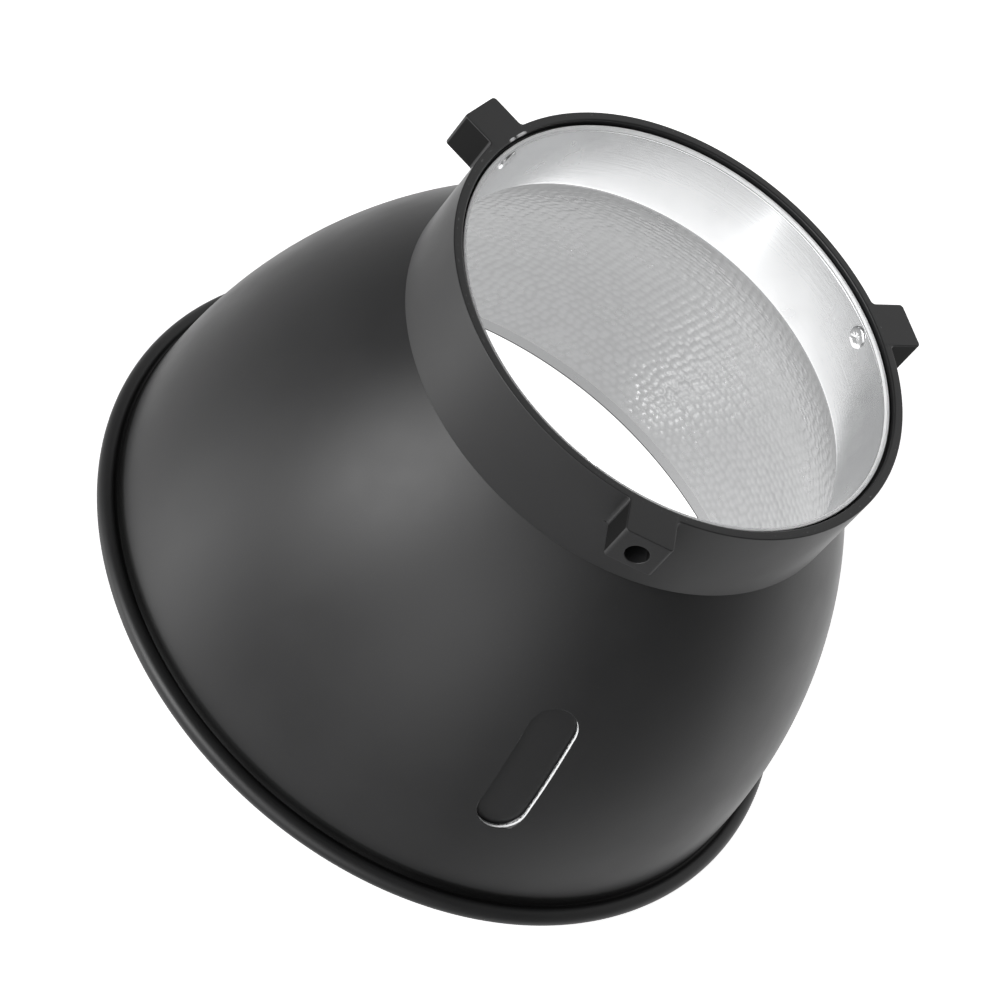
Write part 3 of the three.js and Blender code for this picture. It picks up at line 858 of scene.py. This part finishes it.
def rivet(number, azimuth):
    """A rivet in two pieces: its painted head in the well, and its bright formed end in the neck."""
    node = f"lug_rivet_{number}"
    place = radial(azimuth, RIVET_Z)
    seat = WELL_FLOOR + 0.3
    head = [(seat, 0), (seat, 2.55), (seat + 0.7, 2.6), (seat + 1.15, 2.3), (seat + 1.45, 1.6),
            (seat + 1.6, 0)]
    obj = shade(turned_pin(f"rivet_head_{number}", head, radial(azimuth, WELL_Z)))
    # The head, deep in its well, takes the darker paint as painted shade.
    piece(obj, "reflector", SHADE_BLACK, "cast_black", node)
    top = NECK_IN - 0.1
    tail = [(top - 0.5, 0), (top - 0.52, 0.6), (top - 0.58, 1.2), (top - 0.6, 1.7), (top - 0.5, 2.3),
            (top - 0.32, 2.8), (top - 0.1, 3.05), (top, 3.05), (top, RIVET_SHANK_R),
            (seat - 0.1, RIVET_SHANK_R), (seat - 0.1, 0)]
    obj = turned_pin(f"rivet_end_{number}", tail, place, RIVET_SIDES)
    hammer(obj, number, azimuth)
    shade(obj, 60)
    piece(obj, "reflector", RIVET_BRIGHT, "bright_aluminium", node)


def hammer(obj, seed, azimuth):
    """Dents a rivet's formed end a little, as setting it does."""
    draw = np.random.default_rng(seed)
    out = Vector((math.cos(math.radians(azimuth)), math.sin(math.radians(azimuth)), 0))
    for vertex in obj.data.vertices:
        reach = vertex.co.dot(out) / MM
        if reach < NECK_IN - 0.3:
            vertex.co += out * float(draw.normal(0, 0.05)) * MM


# ---- the slot's flap ----

def wall_point(x, angle, radius):
    r, z = on_arc(radius, angle)
    return (x, -math.sqrt(r * r - x * x), z)


def wall_plate(name, rows, middle, sheet, columns=21):
    """A plate that follows the wall: rows are (angle, half width); its edges are rounded."""
    half = sheet / 2
    spans = np.linspace(-1, 1, columns)
    spans = np.concatenate([[-1, -0.985], spans[1:-1], [0.985, 1]])
    top, low = [], []
    for i, (angle, width) in enumerate(rows):
        for span in spans:
            edge = abs(span) == 1 or i in (0, len(rows) - 1)
            lift = 0.35 * half if edge else half
            top.append(wall_point(span * width, angle, middle + lift))
            low.append(wall_point(span * width, angle, middle - lift))
    n, m = len(rows), len(spans)
    base = n * m
    faces = grid_faces(n, m)
    faces += [tuple(base + v for v in f[::-1]) for f in grid_faces(n, m)]
    ring = [j for j in range(m)] + [i * m + m - 1 for i in range(1, n)]
    ring += [(n - 1) * m + j for j in range(m - 2, -1, -1)] + [i * m for i in range(n - 2, 0, -1)]
    for a, b in zip(ring, ring[1:] + ring[:1]):
        faces.append((a, base + a, base + b, b))
    return new_object(name, top + low, faces)


def flap():
    """The flap: a curved plate with two tongues rolled round the pin."""
    reach = HINGE_ANGLE - 3.4 / ARC_IN
    corner = FLAP_CORNER
    rows = []
    for t in (0, 0.02, 0.08, 0.18, 0.32, 0.5, 0.75, 1):
        drop = corner * t
        width = FLAP_HALF_WIDTH - corner + math.sqrt(corner**2 - (corner - drop) ** 2)
        rows.append((FLAP_LOW_ANGLE + drop / ARC_IN, width))
    rows += [(rows[-1][0] + (reach - rows[-1][0]) * i / 20, FLAP_HALF_WIDTH) for i in range(1, 21)]
    rows.append((reach + 0.05 / ARC_IN, FLAP_HALF_WIDTH))
    obj = wall_plate("flap_plate", rows, FLAP_OUT - FLAP_SHEET / 2, FLAP_SHEET)
    half, round_x, round_r = BARREL_HALF, BARREL_HALF - 0.15, BARREL_R - 0.2
    for side in (-1, 1):
        place = HINGE @ Matrix.Translation((side * BARREL_X, 0, 0))
        lean = Matrix.Rotation(side * TONGUE_LEAN, 4, "Y")
        tongue = prism("tongue", [(-half, -4.6), (half, -4.6), (half, 0.6), (-half, 0.6)], FLAP_SHEET,
                       place @ Matrix.Translation((0, 0, 2.0)) @ lean)
        combine(obj, tongue, "UNION")
        barrel = [(-half, 0), (-half, round_r), (-round_x, BARREL_R),
                  (round_x, BARREL_R), (half, round_r), (half, 0)]
        combine(obj, turned_pin("barrel", barrel, place), "UNION")
        bore = [(-4, 0), (-4, BARREL_BORE_R), (4, BARREL_BORE_R), (4, 0)]
        combine(obj, turned_pin("bore", bore, place), "DIFFERENCE")
    shade(obj)
    piece(obj, "flap", PAINT_BLACK, "black_paint", "umbrella_flap")


def bracket():
    """The plate on the wall above the slot, with an ear at each end for the pin."""
    low, high = PLATE_ANGLES
    rounded = {0: 0.8, 1: 0.25, 9: 0.25, 10: 0.8}
    rows = [(low + (high - low) * i / 10, PLATE_HALF_WIDTH - rounded.get(i, 0)) for i in range(11)]
    obj = wall_plate("hinge_bracket", rows, FLAP_OUT - 0.4, PLATE_SHEET)
    ear = arc(0, 0, EAR_R, 180, 360, 16) + [(1.55, 8), (-1.55, 8)]
    turn = Matrix(((0, 0, -1), (0, 1, 0), (1, 0, 0))).to_4x4()
    for side in (-1, 1):
        place = Matrix.Translation((side * EAR_X, 0, 0)) @ turn
        one = round_edges(prism("ear", ear, EAR_SHEET, HINGE @ place), 0.2)
        combine(obj, one, "UNION")
    bore = turned_pin("bore", [(-14, 0), (-14, EAR_BORE_R), (14, EAR_BORE_R), (14, 0)], HINGE)
    combine(obj, bore, "DIFFERENCE")
    shade(obj)
    piece(obj, "reflector", STEEL, "spring_steel", "flap_bracket")


def hinge_pin():
    """The pin, with a domed head at each end."""
    half = [(0, 0.9), (10.8, 0.9), (10.8, 1.4), (10.95, 1.5), (11.25, 1.45), (11.5, 1.05), (11.6, 0)]
    profile = [(-x, r) for x, r in half[::-1]][:-1] + half
    obj = shade(turned_pin("hinge_pin", profile, HINGE))
    piece(obj, "reflector", STEEL, "spring_steel", "flap_pin")


def wire(name, points, radius=0.35, sides=12):
    """A round wire along a list of places, with rounded ends."""
    path = np.array(points, float)
    tangent = np.gradient(path, axis=0)
    tangent /= np.linalg.norm(tangent, axis=1, keepdims=True)
    side = np.cross(tangent[0], (0.3, 0.2, 1.0))
    vertices, turn = [], np.arange(sides) * (2 * math.pi / sides)
    rings = [(0, -0.85, 0.35), (0, -0.5, 0.8)] + [(i, 0, 1) for i in range(len(path))]
    rings += [(len(path) - 1, 0.5, 0.8), (len(path) - 1, 0.85, 0.35)]
    for i, ahead, size in rings:
        side = side - tangent[i] * np.dot(side, tangent[i])
        side /= np.linalg.norm(side)
        other = np.cross(tangent[i], side)
        centre = path[i] + tangent[i] * ahead * radius
        vertices += [centre + radius * size * (side * math.cos(a) + other * math.sin(a)) for a in turn]
    n = len(rings)
    faces = grid_faces(n, sides, False, True)
    faces.append(tuple(reversed(range(sides))))
    faces.append(tuple(range((n - 1) * sides, n * sides)))
    return new_object(name, vertices, faces)


def spring():
    """The torsion spring: its coil and upper leg stay, and its lower leg follows the flap."""
    radius, half, turns, steps = 1.6, 3.15, 6, 24
    coil = []
    for i in range(turns * steps + 1):
        a = 2 * math.pi * i / steps
        coil.append((half * (2 * i / (turns * steps) - 1), radius * math.sin(a), radius * math.cos(a)))
    leg = [(half, 10.5 * t, radius - 0.8 * t) for t in np.linspace(0.08, 1, 12)]
    obj = shade(moved(wire("spring_coil", coil + leg), HINGE), 60, False)
    piece(obj, "reflector", STEEL, "spring_steel", "flap_spring")
    lower = [(-half, -14 * t, radius - 0.62 * t) for t in np.linspace(1, 0, 14)]
    obj = shade(moved(wire("spring_leg", lower), HINGE), 60, False)
    piece(obj, "flap", STEEL, "spring_steel")


# ---- floor, light and camera ----

def disc(name, radius, centre, z, sides=96):
    turn = [2 * math.pi * i / sides for i in range(sides)]
    points = [(centre[0] + radius * math.cos(a), centre[1] + radius * math.sin(a), z) for a in turn]
    return new_object(name, points, [tuple(range(sides))])


def glowing(obj, colour, strength):
    """A pale material that gives off a little light of its own."""
    shader = Shader(obj.name)
    shader.set(base_color=(*colour, 1), roughness=0.9)
    shader.set(emission_color=(1, 1, 1, 1), emission_strength=strength)
    obj.data.materials.append(shader.material)
    return obj


def floor():
    """A pale floor, and a light table set into it under the bowl's mouth."""
    ground = glowing(disc("floor", FLOOR_RADIUS, (0, 0), FLOOR_Z), PALE, FLOOR_GLOW)
    # The tent's light, not the floor's, is what the paint reflects.
    ground.visible_glossy = False
    ground.visible_shadow = False
    table = glowing(disc("light_table", RIM_R - BEAD_R - 0.1, (0, 0), TABLE_Z), PALE, TABLE_GLOW[1])
    shader = table.active_material.node_tree
    place = shader.nodes.new("ShaderNodeTexCoord")
    away = shader.nodes.new("ShaderNodeVectorMath")
    away.operation = "DISTANCE"
    away.inputs[1].default_value = Vector((*TABLE_BRIGHTEST, 0)) * MM
    shader.links.new(place.outputs["Object"], away.inputs[0])
    glow = shader.nodes.new("ShaderNodeMapRange")
    glow.inputs["From Max"].default_value = TABLE_REACH * MM
    glow.inputs["To Min"].default_value, glow.inputs["To Max"].default_value = TABLE_GLOW
    shader.links.new(away.outputs["Value"], glow.inputs["Value"])
    shader.links.new(glow.outputs["Result"], shader.nodes["Principled BSDF"].inputs["Emission Strength"])
    for x, y, radius in LAMPS:
        glowing(disc("table_lamp", radius, (x, y), LAMP_Z, LAMP_SIDES), PALE, LAMP_GLOW)


def direction(azimuth, elevation):
    a, e = math.radians(azimuth), math.radians(elevation)
    return Vector((math.cos(e) * math.cos(a), math.cos(e) * math.sin(a), math.sin(e)))


PALE = (0.9, 0.9, 0.9)
FLOOR_RADIUS, FLOOR_GLOW = 4000, 0.85
FLOOR_Z, TABLE_Z, LAMP_Z = -0.3, -0.2, -0.1
LAMP_SIDES = 32

# The light table is brightest towards one side, which shades the pebbles.
TABLE_GLOW = (1.75, 1.24)
TABLE_BRIGHTEST = (95, 45)
TABLE_REACH = 65
# Its small lamps: x, y and radius of each. The first sparkles on the nearest pebbles, and the
# others lie in line and draw a streak on the neck.
LAMPS = [(47, 65, 1.45)] + [(-36 - 4 * i, -62 - 7 * i, 2.5) for i in range(4)]
LAMP_GLOW = 12

# The light tent's soft panels: azimuth, elevation, tightness and brightness of each.
PANELS = [
    (-152, 28, 22, 4.3),
    (-167, 14, 21, 3.9),
    (175, -27, 23, 2.0),
    (-110, 10, 11, 1.85),
    (-3, -17, 12, 0.4),
    (-35, -37, 25, 0.45),
    (165, -68, 2, 0.9),
    (45, 7, 3.3, 1.15),
    (60, -44, 20, 1.0),
]


def tent():
    """A light tent of broad soft panels that fade out at their edges."""
    world = bpy.data.worlds.new("tent")
    bpy.context.scene.world = world
    world.use_nodes = True
    tree = world.node_tree
    background = tree.nodes["Background"]
    background.inputs["Color"].default_value = (1, 1, 1, 1)
    place = tree.nodes.new("ShaderNodeTexCoord").outputs["Generated"]

    def calculate(operation, first, second):
        made = tree.nodes.new("ShaderNodeMath")
        made.operation = operation
        for socket, value in zip(made.inputs, (first, second)):
            if isinstance(value, (int, float)):
                socket.default_value = value
            else:
                tree.links.new(value, socket)
        return made.outputs["Value"]

    total = 0.0
    for azimuth, elevation, tightness, brightness in PANELS:
        dot = tree.nodes.new("ShaderNodeVectorMath")
        dot.operation = "DOT_PRODUCT"
        dot.inputs[1].default_value = direction(azimuth, elevation)
        tree.links.new(place, dot.inputs[0])
        fade = calculate("MULTIPLY", calculate("SUBTRACT", dot.outputs["Value"], 1.0), tightness)
        lobe = calculate("MULTIPLY", calculate("POWER", math.e, fade), brightness)
        total = calculate("ADD", lobe, total)
    tree.links.new(total, background.inputs["Strength"])


LENS, SENSOR_WIDTH = 140.2, 36
CAMERA_AIM = (-15.7, -17.8, 63.0)
CAMERA_DISTANCE = 1017.3
CAMERA_FROM = (-119.95, 43.82)      # azimuth and elevation of the camera from where it aims
CAMERA_ROLL = 41.43


def camera():
    """A long lens, looking down at the collar's side, and rolled so that the axis leans right."""
    data = bpy.data.cameras.new("camera")
    data.sensor_width = SENSOR_WIDTH
    data.lens = LENS
    obj = bpy.data.objects.new("camera", data)
    bpy.context.scene.collection.objects.link(obj)
    aim = Vector(CAMERA_AIM) * MM
    away = direction(*CAMERA_FROM)
    obj.location = aim + away * CAMERA_DISTANCE * MM
    upright = (-away).to_track_quat("-Z", "Y")
    roll_turn = Quaternion((0, 0, 1), math.radians(CAMERA_ROLL))
    obj.rotation_euler = (upright @ roll_turn).to_euler()
    bpy.context.scene.camera = obj
    bpy.context.scene.view_settings.view_transform = "Standard"


camera()
floor()
tent()
bowl_sheet()
bowl_paint()
for sector in range(LINING_SECTORS):
    lining_sector(sector)
collar()
for order, where in enumerate(LUG_AZIMUTHS):
    rivet(order + 1, where)
flap()
bracket()
hinge_pin()
spring()
